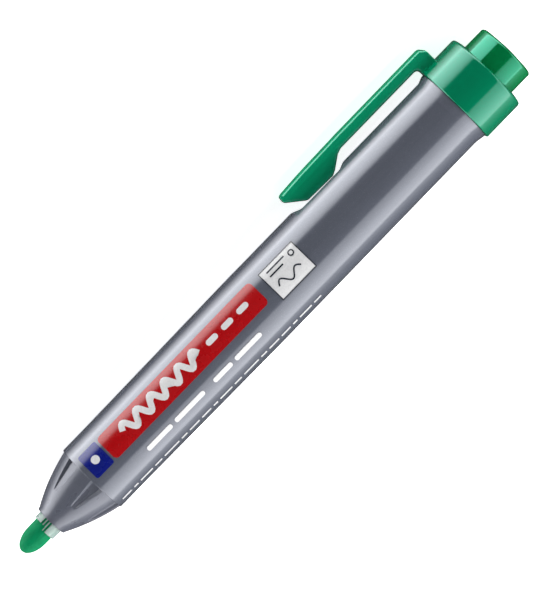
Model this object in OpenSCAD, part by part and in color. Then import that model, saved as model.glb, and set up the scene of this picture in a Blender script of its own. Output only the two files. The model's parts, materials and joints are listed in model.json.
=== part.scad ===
// Retractable whiteboard marker with a push button, a clip and a bullet nib.
//
// Every module is drawn standing along Z: the nib tip is at z = 0, the button
// is at the top, and the clip is on the +X side. lay() then puts the pen down
// the way it rests on a table: the collar and the clip touch the table, the
// nib points to +X, and the origin is the middle of the barrel's holder seat.

/* [Overall] */
// Outer diameter of the barrel at its holder seat
barrel_d = 17; // [15:0.1:24]
// Length of the barrel between the nose cone and the collar
barrel_l = 105.7; // [100:0.1:140]
// Length of the nose cone in front of the barrel
nose_l = 12; // [11:0.1:16]
// How far the nib reaches out of the nose cone
nib_reach = 8.5; // [7:0.1:11]
// Length of the coloured collar
collar_l = 9.8; // [8:0.1:14]
// How far the pressed button stands out of the collar
button_reach = 6; // [4:0.1:10]

/* [Barrel] */
// Wall of the barrel around the cartridge
barrel_wall = 1.6; // [1.3:0.05:2]
// Wall of the barrel around the button's skirt
rear_wall = 1.05; // [0.8:0.05:1.2]
// How much the radius shrinks from the seat to the nose
front_taper = 0.3; // [0.1:0.05:0.6]
// Length of the even stretch behind the nose
front_even_l = 7.5; // [4:0.1:12]
// Length of the true cylinder that a holder ring takes
seat_l = 20; // [10:0.5:30]
// Moulding draft behind the seat, on the radius
draft = 0.04; // [0.02:0.01:0.1]
// Length of the flare in front of the collar
flare_l = 2.2; // [1:0.1:4]
// Rise of the flare in front of the collar
flare_h = 0.36; // [0.1:0.02:0.6]
// Bevel on the barrel's front edge
front_bevel = 0.22; // [0.1:0.02:0.3]
// Depth of the shallow flat under the clip
flat_depth = 0.3; // [0.1:0.05:0.4]
// Depth of the finger scoop under the clip foot
scoop_depth = 0.95; // [0.5:0.05:1.1]

/* [Nose cone] */
// Wall of the nose cone at its mouth
mouth_wall = 0.53; // [0.45:0.01:0.9]
// Wall of the mouth ring along the pen
mouth_lip_l = 1.1; // [0.6:0.1:2]
// How far the nose's side bulges out of a straight line
nose_bulge = 0.42; // [0.1:0.02:0.7]
// Number of flutes around the nose
flute_count = 7; // [5:1:9]
// Width of a flute at the barrel
flute_w = 2.5; // [1.5:0.1:3]
// Width of a flute where it runs out
flute_tip_w = 0.9; // [0.4:0.1:1.4]
// Depth of a flute at the barrel
flute_depth = 0.85; // [0.3:0.05:1.1]
// Length of a flute
flute_l = 7.5; // [4:0.1:8]
// Step from the barrel's front edge down to the nose
nose_step = 0.22; // [0.1:0.02:0.4]
// Length of the nose's spigot inside the barrel
spigot_l = 9.5; // [7:0.1:12]

/* [Collar] */
// Step from the barrel to the collar, on the radius
collar_step = 0.9; // [0.6:0.05:1.5]
// Wall around the button at the collar's back
collar_wall = 2.8; // [2:0.1:4]
// Rounding of the collar's back edge
collar_round = 0.6; // [0.3:0.05:0.9]

/* [Clip] */
// Width of the clip
clip_w = 5.4; // [4:0.1:7]
// Thickness of the clip arm
clip_t = 2.9; // [2:0.1:3.6]
// Space between the clip arm and the barrel's seat radius
clip_gap = 1.95; // [1.2:0.05:3]
// Length of the clip in front of the collar
clip_l = 38.4; // [30:0.1:46]
// Length of the clip's foot along the pen
foot_l = 15.4; // [12:0.1:18]
// Gap between the clip's foot and the scoop
foot_gap = 0.1; // [0.05:0.05:0.4]
// Height of the clip's crowned outer face over its long edges
clip_crown = 0.5; // [0.2:0.05:0.7]
// Rounding of the clip's long outer edges
clip_edge = 0.6; // [0.4:0.05:0.9]
// How much the clip's foot narrows on each side towards the barrel
keel_taper = 0.9; // [0.4:0.05:1.2]
// Length of the clip's root block on the collar
root_l = 3.9; // [3.2:0.1:6]

/* [Button] */
// Number of flat sides of the button
button_sides = 12; // [8:1:12]
// Turn of the button's flat sides away from the clip
button_turn = 4; // [0:1:15]
// Step from the button's skirt to its flat-sided stem, on the radius
button_lip = 0.67; // [0.4:0.01:1]
// Length of the round skirt that slides in the barrel
skirt_l = 8.5; // [6:0.1:11]
// Wall of the button's stem
button_wall = 0.9; // [0.7:0.05:1.2]
// Thickness of the button's closed end
button_cap = 1.6; // [1.3:0.1:2.5]
// Rounding of the button's end
button_round = 0.9; // [0.4:0.05:1.5]

/* [Nib and cartridge] */
// Diameter of the nib
nib_d = 4.95; // [3:0.05:6]
// Length of the nib's rounded point
nib_point_l = 4.4; // [2:0.1:6]
// Nib left bare in front of its holder
nib_bare = 6.1; // [5:0.1:6.8]
// Diameter of the nib's shank inside the reservoir
shank_d = 3; // [2:0.1:3.6]
// Wall of the nib holder
holder_wall = 0.36; // [0.3:0.02:0.6]
// How far the holder's long finger reaches past its short one
finger_step = 0.9; // [0:0.1:1.5]
// Wall of the cartridge tube
cartridge_wall = 0.6; // [0.4:0.05:0.9]
// Thickness of the film around the ink reservoir
film_t = 0.1; // [0.06:0.02:0.2]

/* [Mechanism] */
// How far the retracted nib lies behind the slit seal
nib_hide = 1.1; // [0.6:0.1:3]
// Extra push past the latched place that lets the button go
over = 1.5; // [1:0.1:2.5]
// Wall of the cam sleeve
sleeve_wall = 0.55; // [0.4:0.05:0.8]
// Height of the cam sleeve's inner ribs
rib_h = 0.95; // [0.6:0.05:1.1]
// Wall of the seal chamber
chamber_wall = 0.6; // [0.5:0.05:0.9]
// Diameter of the return spring's wire
wire_d = 0.7; // [0.4:0.05:0.9]
// Number of turns of the return spring
spring_turns = 11; // [7:1:14]
// Thickness of the rubber rings
ring_d = 1; // [0.8:0.05:1.2]

/* [Clearances] */
// Gap around what slides in a guide
slide_gap = 0.05; // [0.03:0.01:0.1]
// Gap around what moves freely inside
free_gap = 0.2; // [0.15:0.01:0.3]
// Gap between pieces that are pressed or glued together
seat_gap = 0.03; // [0.01:0.01:0.05]
// Gap of the clip arm's flexing joint
flex_gap = 0.08; // [0.05:0.01:0.12]

/* [Hidden] */

$fn = 96;
tiny = 0.01;         // overlap of joined shapes, so that they fuse
far = 40;            // reach of a cutter past the pen
snap_h = 0.2;        // height of a snap bead
snap_half_l = 0.6;   // half length of a snap bead
guide_gap = 0.15;    // gap of the cartridge and the rotor in the cam sleeve
chamber_gap = 0.25;  // gap around the seal chamber in the nose's spigot
end_gap = 0.3;       // gap in front of and behind what stays put in the barrel
seal_lead = 1.1;     // how far the seal chamber starts in front of the seam
nib_body_l = 4;      // nib's full-width body behind the nose's mouth

// stations along the pen
seam_z = nib_reach + nose_l;
barrel_end_z = seam_z + barrel_l;
collar_end_z = barrel_end_z + collar_l;
total_l = collar_end_z + button_reach;
seal_z = seam_z - seal_lead;                 // front face of the seal chamber
travel = seal_z + nib_hide;                  // stroke of the nib and the button

// radii of the casing
barrel_r = barrel_d / 2;
bore_r = barrel_r - barrel_wall;
rear_bore_r = barrel_r - rear_wall;
front_r = barrel_r - front_taper;
nose_r = front_r - nose_step;
collar_r = barrel_r + collar_step;
neck_r = collar_r - 1;                       // barrel's neck inside the collar

// radii of the button and of what nests inside it
skirt_r = rear_bore_r - slide_gap;
corner_r = skirt_r - button_lip;
flat_r = corner_r * cos(180 / button_sides);
button_bore_r = flat_r - button_wall;
sleeve_r = button_bore_r - free_gap;
sleeve_bore_r = sleeve_r - sleeve_wall;
cartridge_r = sleeve_bore_r - guide_gap;
cartridge_bore_r = cartridge_r - cartridge_wall;
chamber_bore_r = cartridge_r + free_gap;
chamber_r = chamber_bore_r + chamber_wall;
plug_r = cartridge_bore_r - seat_gap;        // what is pressed into the cartridge
spigot_bore_r = chamber_r + chamber_gap;
rib_r = sleeve_bore_r - rib_h;               // inner radius of the sleeve's ribs
hub_r = rib_r - guide_gap;                   // hub of the rotor and the plunger
rod_r = rib_r - 0.4;                         // plunger's rod

// stations of the button and the cam sleeve
wall_z = collar_end_z - collar_wall;         // inner face of the collar's back wall
neck_end_z = wall_z - free_gap;
skirt_top_z = neck_end_z - travel;
skirt_z = skirt_top_z - skirt_l;
rear_bore_z = skirt_z - over - end_gap;
sleeve_end_z = total_l - button_cap - over - 0.9;
sleeve_flange_l = 4.9;
sleeve_flange_end_z = rear_bore_z - end_gap;
sleeve_z = sleeve_flange_end_z - sleeve_flange_l;
ledge_z = sleeve_end_z - travel - 6.5;       // front ends of the sleeve's ribs

// stations of the writing unit
nib_r = nib_d / 2;
nib_end_z = nib_reach + nib_body_l;
shank_r = shank_d / 2;
holder_bore_r = nib_r + seat_gap;
holder_r = holder_bore_r + holder_wall;
mouth_bore_r = holder_r + 0.15;
mouth_r = mouth_bore_r + mouth_wall;
chamber_step_z = seal_z + 4.1;
holder_flange_z = chamber_step_z + over + 0.5;
holder_flange_l = 1.5;
groove_l = ring_d + 0.4;
cartridge_z = holder_flange_z + holder_flange_l + groove_l;
piston_z = cartridge_z - groove_l / 2;
cartridge_end_z = ledge_z - travel - 0.5;
holder_plug_l = 4.6;
reservoir_z = cartridge_z + holder_plug_l + 0.6;
shank_in_l = 4;                              // shank inside the reservoir
plug_l = 4;
chamber_end_z = piston_z + travel + 2.8;
spring_flange_l = 1.2;
spring_end_z = sleeve_z - travel - 0.8 - spring_flange_l;
seat_lip_l = 1.2;
spring_z = chamber_end_z + seat_lip_l;

// clip, seen from the side
clip_in_r = barrel_r + clip_gap;
clip_out_r = clip_in_r + clip_t;
pivot_r = clip_in_r + clip_t / 2;
knuckle_r = clip_t / 2;
pivot_z = barrel_end_z + knuckle_r;
clip_tip_z = barrel_end_z - clip_l;
scoop_r = barrel_r - scoop_depth;
scoop_z = clip_tip_z - 1;
scoop_ramp_l = 3.2;
scoop_end_z = clip_tip_z + foot_l - 0.7;
flare_z = barrel_end_z - flare_l;

// holder seat and the origin
seat_end_z = scoop_z - 0.4;
seat_z = seat_end_z - seat_l;
origin_z = seat_end_z - seat_l / 2;

// centre of the rounding of the clip's long edge, and the crown that joins two of them
edge_x = clip_out_r - clip_crown - clip_edge;
edge_y = clip_w / 2 - clip_edge;
crown_r = (pow(clip_crown + clip_edge, 2) + pow(edge_y, 2) - pow(clip_edge, 2)) / (2 * clip_crown);
crown_x = clip_out_r - crown_r;
crown_a = atan2(edge_y, edge_x - crown_x);

// roll at which the collar and the clip's long edge touch one flat table
lie_roll = asin((collar_r - clip_edge) / norm([edge_x, edge_y])) - atan2(edge_y, edge_x);

// places the standing pen on the table
module lay() {
    rotate([90 + lie_roll, 0, 0])
        rotate([0, -90, 0])
            translate([0, 0, -origin_z])
                children();
}

// points of an arc, from angle a0 to a1 in n steps
function arc(cx, cy, r, a0, a1, n) =
    [for (i = [0:n]) let(a = a0 + (a1 - a0) * i / n) [cx + r * cos(a), cy + r * sin(a)]];

// points from p to q that bulge to the right of the way by a height
function bulged(p, q, bulge, n) =
    let(chord = norm(q - p),
        u = (q - p) / chord,
        side = [u[1], -u[0]])
    [for (i = [0:n]) let(t = i / n) p + u * chord * t + side * bulge * 4 * t * (1 - t)];

// round tube or disc between two stations
module ring(r_out, r_in, z0, z1) {
    difference() {
        translate([0, 0, z0]) cylinder(r = r_out, h = z1 - z0);
        if (r_in > 0) translate([0, 0, z0 - 1]) cylinder(r = r_in, h = z1 - z0 + 2);
    }
}

// rubber ring of round section
module rubber_ring(mid_r, z, d) {
    translate([0, 0, z]) rotate_extrude() translate([mid_r, 0]) circle(d = d, $fn = 32);
}

// snap bead around a spigot, or its groove
module bead(r, z, height, half_l) {
    rotate_extrude()
        polygon([[r - 0.4, z - half_l - 0.4], [r, z - half_l], [r + height, z],
                 [r, z + half_l], [r - 0.4, z + half_l + 0.4]]);
}

// outline of the clip's cross-section, X up and Y across
module clip_section() {
    half = clip_w / 2;
    keel_half = half - keel_taper;
    keel_low = scoop_r + foot_gap - 0.2;
    keel_high = clip_in_r + 0.5;
    step = crown_a / 8;
    polygon(concat(
        arc(edge_x, edge_y, clip_edge, 90, crown_a, 6),
        arc(crown_x, 0, crown_r, crown_a - step, step - crown_a, 14),
        arc(edge_x, -edge_y, clip_edge, -crown_a, -90, 6),
        [[keel_high, -half], [keel_low, -keel_half], [keel_low, keel_half], [keel_high, half]]));
}

// the clip's section carried along the pen between two stations
module clip_bar(z0, z1) {
    translate([0, 0, z0]) linear_extrude(height = z1 - z0) clip_section();
}

// side view of the clip arm, with X across the pen and the foot's tip first
module clip_side() {
    heel_z = clip_tip_z + foot_l;
    toe_r = scoop_r + foot_gap;
    polygon(concat(
        [[clip_in_r + 0.3, clip_tip_z + 0.2],
         [toe_r + 0.25, clip_tip_z + 3.7],
         [toe_r, clip_tip_z + 11],
         [toe_r + 0.5, clip_tip_z + 12.1],
         [clip_in_r - 0.45, heel_z - 0.7],
         [clip_in_r, heel_z + 0.8]],
        arc(pivot_r, pivot_z, knuckle_r, 180, 0, 16),
        [[clip_out_r - 0.05, heel_z + 2],
         [clip_out_r - 0.25, clip_tip_z + 6.5],
         [clip_out_r - 0.4, clip_tip_z + 3],
         [clip_out_r - 0.65, clip_tip_z + 0.7],
         [clip_out_r - 1.1, clip_tip_z],
         [clip_in_r + 1, clip_tip_z - 0.02]]));
}

// a side view, drawn as [x, z], given the width of the pen
module from_side(width) {
    rotate([90, 0, 0]) translate([0, 0, -width / 2]) linear_extrude(height = width) children();
}

// barrel: tube with a seat, a scoop and a flat under the clip, and a neck for the collar
module barrel() {
    back_r = barrel_r - draft;
    color([0.52, 0.54, 0.58]) lay() difference() {
        union() {
            rotate_extrude()
                polygon([[bore_r, seam_z], [front_r - front_bevel, seam_z],
                         [front_r, seam_z + front_bevel], [front_r, seam_z + front_even_l],
                         [barrel_r, seat_z], [barrel_r, seat_end_z], [back_r, flare_z],
                         [back_r + flare_h * 0.35, barrel_end_z - flare_l * 0.45],
                         [back_r + flare_h, barrel_end_z], [neck_r - seat_gap, barrel_end_z],
                         [neck_r - seat_gap, neck_end_z], [rear_bore_r, neck_end_z],
                         [rear_bore_r, rear_bore_z], [bore_r, rear_bore_z]]);
            bead(neck_r - seat_gap, (barrel_end_z + neck_end_z) / 2, snap_h, snap_half_l);
        }
        bead(bore_r, seam_z + spigot_l / 2, snap_h, snap_half_l);
        from_side(far)
            polygon([[barrel_r + 0.1, scoop_z - 0.3],
                     [scoop_r + 0.12, scoop_z + scoop_ramp_l - 0.8],
                     [scoop_r, scoop_z + scoop_ramp_l],
                     [scoop_r, scoop_end_z - 2.2],
                     [barrel_r - flat_depth, scoop_end_z],
                     [barrel_r - flat_depth, flare_z],
                     [barrel_r + 1.4, flare_z + 0.6],
                     [far, flare_z + 0.6],
                     [far, scoop_z - 0.3]]);
    }
}

// one flute of the nose, a ramp that starts just under its side and deepens to the barrel
module flute() {
    start_z = seam_z - flute_l;
    t = (start_z - nib_reach) / nose_l;
    start_r = mouth_r + (nose_r - mouth_r) * t + nose_bulge * 4 * t * (1 - t) - 0.1;
    rise = nose_r - flute_depth - start_r;
    translate([start_r, 0, start_z])
        rotate([0, atan2(rise, flute_l), 0])
            rotate([90, 0, 90])
                linear_extrude(height = 6)
                    polygon([[-flute_tip_w / 2, 0], [flute_tip_w / 2, 0],
                             [flute_w / 2, flute_l], [flute_w / 2, flute_l + 1],
                             [-flute_w / 2, flute_l + 1], [-flute_w / 2, flute_l]]);
}

// nose cone: fluted ogive with a spigot that snaps into the barrel
module nose_cone() {
    shoulder_z = seal_z - 1.5;
    funnel_r = chamber_r - 0.2;
    spigot_r = bore_r - seat_gap;
    snap_z = seam_z + spigot_l / 2;
    spigot_end_z = seam_z + spigot_l;
    color([0.47, 0.49, 0.53]) lay() difference() {
        rotate_extrude()
            polygon(concat(
                [[mouth_bore_r, nib_reach], [mouth_r - 0.25, nib_reach]],
                bulged([mouth_r, nib_reach + 0.25], [nose_r, seam_z], nose_bulge, 14),
                [[spigot_r, seam_z], [spigot_r, snap_z - snap_half_l],
                 [spigot_r + snap_h - seat_gap, snap_z], [spigot_r, snap_z + snap_half_l],
                 [spigot_r, spigot_end_z - 0.4], [spigot_r - 0.4, spigot_end_z],
                 [spigot_bore_r, spigot_end_z], [spigot_bore_r, shoulder_z],
                 [funnel_r, shoulder_z], [funnel_r, shoulder_z - 2.6],
                 [mouth_bore_r, nib_reach + mouth_lip_l]]));
        for (i = [0:flute_count - 1])
            rotate([0, 0, i * 360 / flute_count]) flute();
    }
}

// collar: cap over the barrel's neck, with the block that carries the clip arm
module rear_collar() {
    dome = 0.4;
    front_round = 0.4;
    root_round = 1.2;
    root_end_z = barrel_end_z + root_l;
    hole_r = corner_r + 0.12;
    color([0.02, 0.6, 0.42]) lay() difference() {
        union() {
            rotate_extrude()
                polygon(concat(
                    [[hole_r, barrel_end_z]],
                    arc(collar_r - front_round, barrel_end_z + front_round, front_round, -90, 0, 6),
                    arc(collar_r - collar_round, collar_end_z - dome - collar_round,
                        collar_round, 0, 75, 8),
                    [[hole_r + 0.3, collar_end_z], [hole_r, collar_end_z - 0.3]]));
            difference() {
                intersection() {
                    clip_bar(barrel_end_z, root_end_z);
                    from_side(far) union() {
                        translate([0, barrel_end_z]) square([clip_out_r - root_round, root_l]);
                        translate([0, barrel_end_z]) square([clip_out_r, root_l - root_round]);
                        translate([clip_out_r - root_round, root_end_z - root_round])
                            circle(r = root_round, $fn = 48);
                    }
                }
                from_side(far) {
                    translate([pivot_r, pivot_z]) circle(r = knuckle_r + flex_gap);
                    translate([clip_in_r - flex_gap, barrel_end_z - 1])
                        square([far, knuckle_r + 1]);
                }
            }
        }
        translate([0, 0, barrel_end_z - 1]) cylinder(r = neck_r, h = wall_z - barrel_end_z + 1);
        bead(neck_r, (barrel_end_z + neck_end_z) / 2, snap_h + 0.02, snap_half_l + 0.05);
    }
}

// clip arm: bar with a keeled foot, held by its round root
module clip() {
    color([0.02, 0.56, 0.38]) lay() intersection() {
        clip_bar(clip_tip_z - 1, barrel_end_z + root_l);
        from_side(far) clip_side();
    }
}

// cam sleeve: guide with inner ribs whose front ends are the latch's ledges
module cam_sleeve() {
    flange_r = bore_r - seat_gap;
    rib_w = 3;
    color([0.9, 0.9, 0.86]) lay() union() {
        ring(flange_r, sleeve_bore_r, sleeve_z, sleeve_flange_end_z);
        ring(sleeve_r, sleeve_bore_r, sleeve_flange_end_z - tiny, sleeve_end_z);
        for (i = [0:3])
            rotate([0, 0, 45 + i * 90]) difference() {
                intersection() {
                    ring(sleeve_bore_r + sleeve_wall / 2, rib_r, ledge_z, sleeve_end_z);
                    translate([0, -rib_w / 2, ledge_z]) cube([far, rib_w, sleeve_end_z - ledge_z]);
                }
                translate([0, -rib_w / 2, ledge_z])
                    rotate([25, 0, 0]) translate([0, -1, -3]) cube([far, 2 * rib_w, 3]);
            }
    }
}

// seal chamber: tube that holds the retracted nib in closed air
module seal_chamber() {
    front_bore_r = holder_r + 0.2;
    groove_r = chamber_r - ring_d + 0.15;
    groove_z = chamber_step_z - 1.7;
    groove_end_z = chamber_step_z - 0.5;
    color([0.86, 0.87, 0.88]) lay() rotate_extrude()
        polygon([[front_bore_r, seal_z], [chamber_r - 0.3, seal_z], [chamber_r, seal_z + 0.3],
                 [chamber_r, groove_z], [groove_r, groove_z], [groove_r, groove_end_z],
                 [chamber_r, groove_end_z], [chamber_r, chamber_end_z],
                 [chamber_bore_r, chamber_end_z], [chamber_bore_r, chamber_step_z],
                 [front_bore_r, chamber_step_z]]);
}

// slit seal: soft rim with petals that lie open around the nib holder
module slit_seal() {
    lip_r = holder_r + 0.1;
    rim_r = spigot_bore_r - seat_gap;
    petal_t = 0.4;
    root_r = chamber_r - 1;
    color([0.16, 0.17, 0.18]) lay() difference() {
        rotate_extrude()
            polygon([[lip_r, seal_z - 5], [lip_r + petal_t * 0.6, seal_z - 5],
                     [root_r, seal_z - 2.6], [root_r + petal_t * 0.2, seal_z - 1.5],
                     [rim_r, seal_z - 1.5], [rim_r, seal_z - seat_gap],
                     [lip_r + 0.6, seal_z - seat_gap], [root_r - petal_t, seal_z - 2.2],
                     [lip_r, seal_z - 4.4]]);
        for (i = [0:2])
            rotate([0, 0, i * 60])
                translate([-far / 2, -0.08, seal_z - 6]) cube([far, 0.16, 3.6]);
    }
}

// rubber ring between the seal chamber and the nose cone's spigot
module nose_seal_ring() {
    mid_z = chamber_step_z - 1.1;
    color([0.12, 0.12, 0.13]) lay()
        rubber_ring(spigot_bore_r - seat_gap - ring_d / 2, mid_z, ring_d);
}

// flanged bush on the seal chamber's end: seat of the return spring
module spring_seat() {
    color([0.8, 0.8, 0.78]) lay() union() {
        ring(bore_r - slide_gap, chamber_r + seat_gap, chamber_end_z - 4, chamber_end_z + tiny);
        ring(bore_r - slide_gap, cartridge_r + 0.1, chamber_end_z, spring_z);
    }
}

// return spring: a wire tube swept along a helix, whose end turns are wound close
module return_spring() {
    sides = 6;
    per_turn = 18;
    steps = spring_turns * per_turn;
    mid_r = (cartridge_r + bore_r) / 2 - 0.2;
    low = spring_z + wire_d / 2 + seat_gap;
    height = spring_end_z - wire_d / 2 - seat_gap - low;
    close_pitch = wire_d + 0.1;
    open_turns = spring_turns - 2;
    open_pitch = (height - 2 * close_pitch) / open_turns;
    // height of the wire's centre after t turns
    function rise(t) = low + close_pitch * (min(t, 1) + max(0, t - 1 - open_turns))
        + open_pitch * min(open_turns, max(0, t - 1));
    points = [for (i = [0:steps], k = [0:sides - 1])
        let(a = 360 * i / per_turn, b = 360 * k / sides, r = mid_r + wire_d / 2 * cos(b))
        [r * cos(a), r * sin(a), rise(i / per_turn) + wire_d / 2 * sin(b)]];
    skin = [for (i = [0:steps - 1], k = [0:sides - 1])
        let(n = (k + 1) % sides)
        [i * sides + k, i * sides + n, (i + 1) * sides + n, (i + 1) * sides + k]];
    ends = [[for (k = [sides - 1:-1:0]) k], [for (k = [0:sides - 1]) steps * sides + k]];
    color([0.7, 0.71, 0.73]) lay() polyhedron(points = points, faces = concat(skin, ends));
}

// nib: bullet point, bare collar and a thin shank that drinks from the reservoir
module nib() {
    color([0.03, 0.62, 0.45]) lay() rotate_extrude()
        polygon(concat(
            [for (i = [0:12]) let(a = 90 * i / 12)
                [nib_r * sin(a), nib_point_l * (1 - cos(a))]],
            [[nib_r, nib_end_z], [shank_r, nib_end_z + 1],
             [shank_r, reservoir_z + shank_in_l], [0, reservoir_z + shank_in_l]]));
}

// nib holder: slotted tube around the nib, with a flange and a plug for the cartridge
module nib_holder() {
    slot_w = 0.42;
    slot_pitch = 0.7;
    slot_x = 0.3;
    slot_l = 2.6;
    tip_bevel = 0.1;
    flange_r = cartridge_r - 0.1;
    flange_end_z = holder_flange_z + holder_flange_l;
    groove_r = chamber_bore_r - slide_gap - ring_d;
    plug_end_z = cartridge_z + holder_plug_l;
    shank_bore_r = shank_r + seat_gap;
    color([0.86, 0.95, 0.92]) lay() difference() {
        rotate_extrude()
            polygon([[holder_bore_r, nib_bare], [holder_r - tip_bevel, nib_bare],
                     [holder_r, nib_bare + tip_bevel], [holder_r, holder_flange_z],
                     [flange_r, holder_flange_z], [flange_r, flange_end_z],
                     [groove_r, flange_end_z], [groove_r, cartridge_z], [plug_r, cartridge_z],
                     [plug_r, plug_end_z], [shank_bore_r, plug_end_z],
                     [shank_bore_r, nib_end_z + 1], [holder_bore_r, nib_end_z]]);
        // the finger on the clip's side starts further back
        translate([0, -far / 2, nib_bare - 1]) cube([far, far, 1 + finger_step]);
        // three narrow slots through each open side show the nib
        for (k = [-1:1])
            translate([k * slot_pitch + slot_x - slot_w / 2, -far / 2, nib_bare - 1])
                cube([slot_w, far, 1 + slot_l]);
    }
}

// rubber ring that seals the writing unit in the chamber
module piston_seal() {
    color([0.14, 0.14, 0.15]) lay()
        rubber_ring(chamber_bore_r - slide_gap - ring_d / 2, piston_z, ring_d - 0.04);
}

// cartridge tube with the flange that the return spring pushes on
module cartridge_tube() {
    color([0.9, 0.91, 0.9]) lay() union() {
        ring(cartridge_r, cartridge_bore_r, cartridge_z, cartridge_end_z);
        ring(bore_r - 0.5, cartridge_bore_r + 0.2, spring_end_z, spring_end_z + spring_flange_l);
    }
}

// fibre rod that stores the ink, with a hole for the nib's shank
module ink_reservoir() {
    fibre_r = plug_r - seat_gap - film_t;
    color([0.1, 0.45, 0.3]) lay() difference() {
        ring(fibre_r, 0, reservoir_z, cartridge_end_z - plug_l - 0.4);
        translate([0, 0, reservoir_z - 1])
            cylinder(r = shank_r + seat_gap, h = shank_in_l + 1.3);
    }
}

// thin film wrapped around the fibre rod
module reservoir_film() {
    color([0.75, 0.85, 0.8]) lay()
        ring(plug_r, plug_r - film_t, reservoir_z + 0.5, cartridge_end_z - plug_l - 0.8);
}

// plug that closes the cartridge and takes the rotor's push
module cartridge_plug() {
    color([0.84, 0.85, 0.84]) lay() difference() {
        ring(plug_r, 0, cartridge_end_z - plug_l, cartridge_end_z);
        translate([0, 0, cartridge_end_z - plug_l - 1]) cylinder(r = plug_r - 1, h = plug_l - 0.5);
    }
}

// four narrow ribs around a hub, as wide as the cam sleeve's slots allow
module splines(z0, z1) {
    spline_w = 2.2;
    intersection() {
        ring(sleeve_bore_r - 0.1, hub_r - 0.4, z0, z1);
        for (i = [0:1])
            rotate([0, 0, i * 90])
                translate([-far / 2, -spline_w / 2, z0]) cube([far, spline_w, z1 - z0]);
    }
}

// eight V-shaped teeth around a face at one station, narrower by a gap
module crown(z, gap) {
    tooth = 1.1 - gap;
    for (i = [0:3])
        rotate([0, 0, 22.5 + i * 45])
            translate([0, 0, z]) rotate([45, 0, 0])
                translate([-far / 2, -tooth / 2, -tooth / 2]) cube([far, tooth, tooth]);
}

// rotor: indexing cam between the plunger and the cartridge
module rotor() {
    stem_r = rib_r - 0.6;
    color([0.93, 0.93, 0.9]) lay() difference() {
        union() {
            ring(stem_r, stem_r - 1.2, cartridge_end_z, ledge_z - 5);
            ring(hub_r, stem_r - 1.2, ledge_z - 5.5, ledge_z);
            splines(ledge_z - 5, ledge_z);
        }
        crown(ledge_z, 0);
    }
}

// plunger: splined push rod that fills the button and drives the rotor
module plunger() {
    rod_bore_r = rod_r - 0.9;
    front_z = ledge_z + 0.1;
    color([0.9, 0.92, 0.95]) lay() union() {
        ring(rod_r, rod_bore_r, front_z, total_l - button_cap + 0.6);
        splines(front_z + 0.4, front_z + 6);
        ring(hub_r, rod_bore_r, front_z, front_z + 6);
        intersection() {
            ring(hub_r, rod_bore_r, front_z - 2, front_z + 1);
            crown(ledge_z + 0.12, 0.1);
        }
    }
}

// button: flat-sided hollow stem with a domed end and a round skirt
module button() {
    dome = 0.45;
    end_r = corner_r - button_round;
    stem_z = skirt_top_z - tiny;
    color([0.02, 0.5, 0.33]) lay() difference() {
        union() {
            ring(skirt_r, 0, skirt_z, skirt_top_z);
            intersection() {
                rotate([0, 0, 180 / button_sides - button_turn]) translate([0, 0, stem_z])
                    cylinder(r = corner_r, h = total_l - stem_z, $fn = button_sides);
                rotate_extrude()
                    polygon(concat(
                        [[0, stem_z], [corner_r + 0.1, stem_z]],
                        arc(end_r + 0.1, total_l - dome - button_round, button_round, 0, 80, 10),
                        [[0, total_l]]));
            }
        }
        translate([0, 0, skirt_z - 1])
            cylinder(r = button_bore_r, h = total_l - button_cap - skirt_z + 1);
        translate([0, 0, total_l - button_cap - 1]) cylinder(r = rod_r + seat_gap, h = 1.65);
    }
}

barrel();
nose_cone();
rear_collar();
clip();
cam_sleeve();
seal_chamber();
slit_seal();
nose_seal_ring();
spring_seat();
return_spring();
nib();
nib_holder();
piston_seal();
cartridge_tube();
ink_reservoir();
reservoir_film();
cartridge_plug();
rotor();
plunger();
button();
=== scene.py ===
"""Looks of the retractable whiteboard marker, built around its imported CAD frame.

The pen is drawn in its own axes: z runs from the nib tip to the button, x points to
the clip and y to the side that the print is on. LAY turns those axes into the frame's.
"""
import json
import math

import bmesh
import bpy
from bpy.props import FloatProperty, FloatVectorProperty, IntProperty
from mathutils import Matrix, Vector


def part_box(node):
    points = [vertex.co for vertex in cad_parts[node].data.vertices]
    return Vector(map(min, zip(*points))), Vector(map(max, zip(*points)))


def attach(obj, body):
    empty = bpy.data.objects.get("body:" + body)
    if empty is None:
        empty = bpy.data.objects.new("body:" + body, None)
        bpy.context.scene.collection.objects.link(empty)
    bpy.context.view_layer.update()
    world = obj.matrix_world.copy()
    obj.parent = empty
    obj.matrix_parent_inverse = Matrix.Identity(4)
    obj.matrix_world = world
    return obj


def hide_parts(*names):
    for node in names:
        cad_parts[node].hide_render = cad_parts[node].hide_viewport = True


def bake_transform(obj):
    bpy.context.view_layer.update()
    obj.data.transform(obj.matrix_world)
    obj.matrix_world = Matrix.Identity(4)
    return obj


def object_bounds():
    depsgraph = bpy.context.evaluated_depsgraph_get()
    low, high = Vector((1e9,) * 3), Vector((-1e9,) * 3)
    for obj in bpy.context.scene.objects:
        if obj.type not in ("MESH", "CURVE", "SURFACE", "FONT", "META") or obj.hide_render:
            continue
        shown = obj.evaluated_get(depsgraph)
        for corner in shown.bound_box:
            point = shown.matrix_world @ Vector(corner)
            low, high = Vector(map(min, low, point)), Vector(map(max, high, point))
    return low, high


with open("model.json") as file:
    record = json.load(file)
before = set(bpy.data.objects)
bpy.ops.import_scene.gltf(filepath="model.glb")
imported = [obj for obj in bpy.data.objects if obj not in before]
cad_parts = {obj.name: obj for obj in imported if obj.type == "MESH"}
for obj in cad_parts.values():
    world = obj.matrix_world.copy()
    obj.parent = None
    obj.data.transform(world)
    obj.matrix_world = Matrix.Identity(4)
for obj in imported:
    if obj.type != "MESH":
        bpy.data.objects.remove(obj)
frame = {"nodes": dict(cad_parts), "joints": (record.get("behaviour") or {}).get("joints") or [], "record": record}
CAD_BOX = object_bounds()

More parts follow.
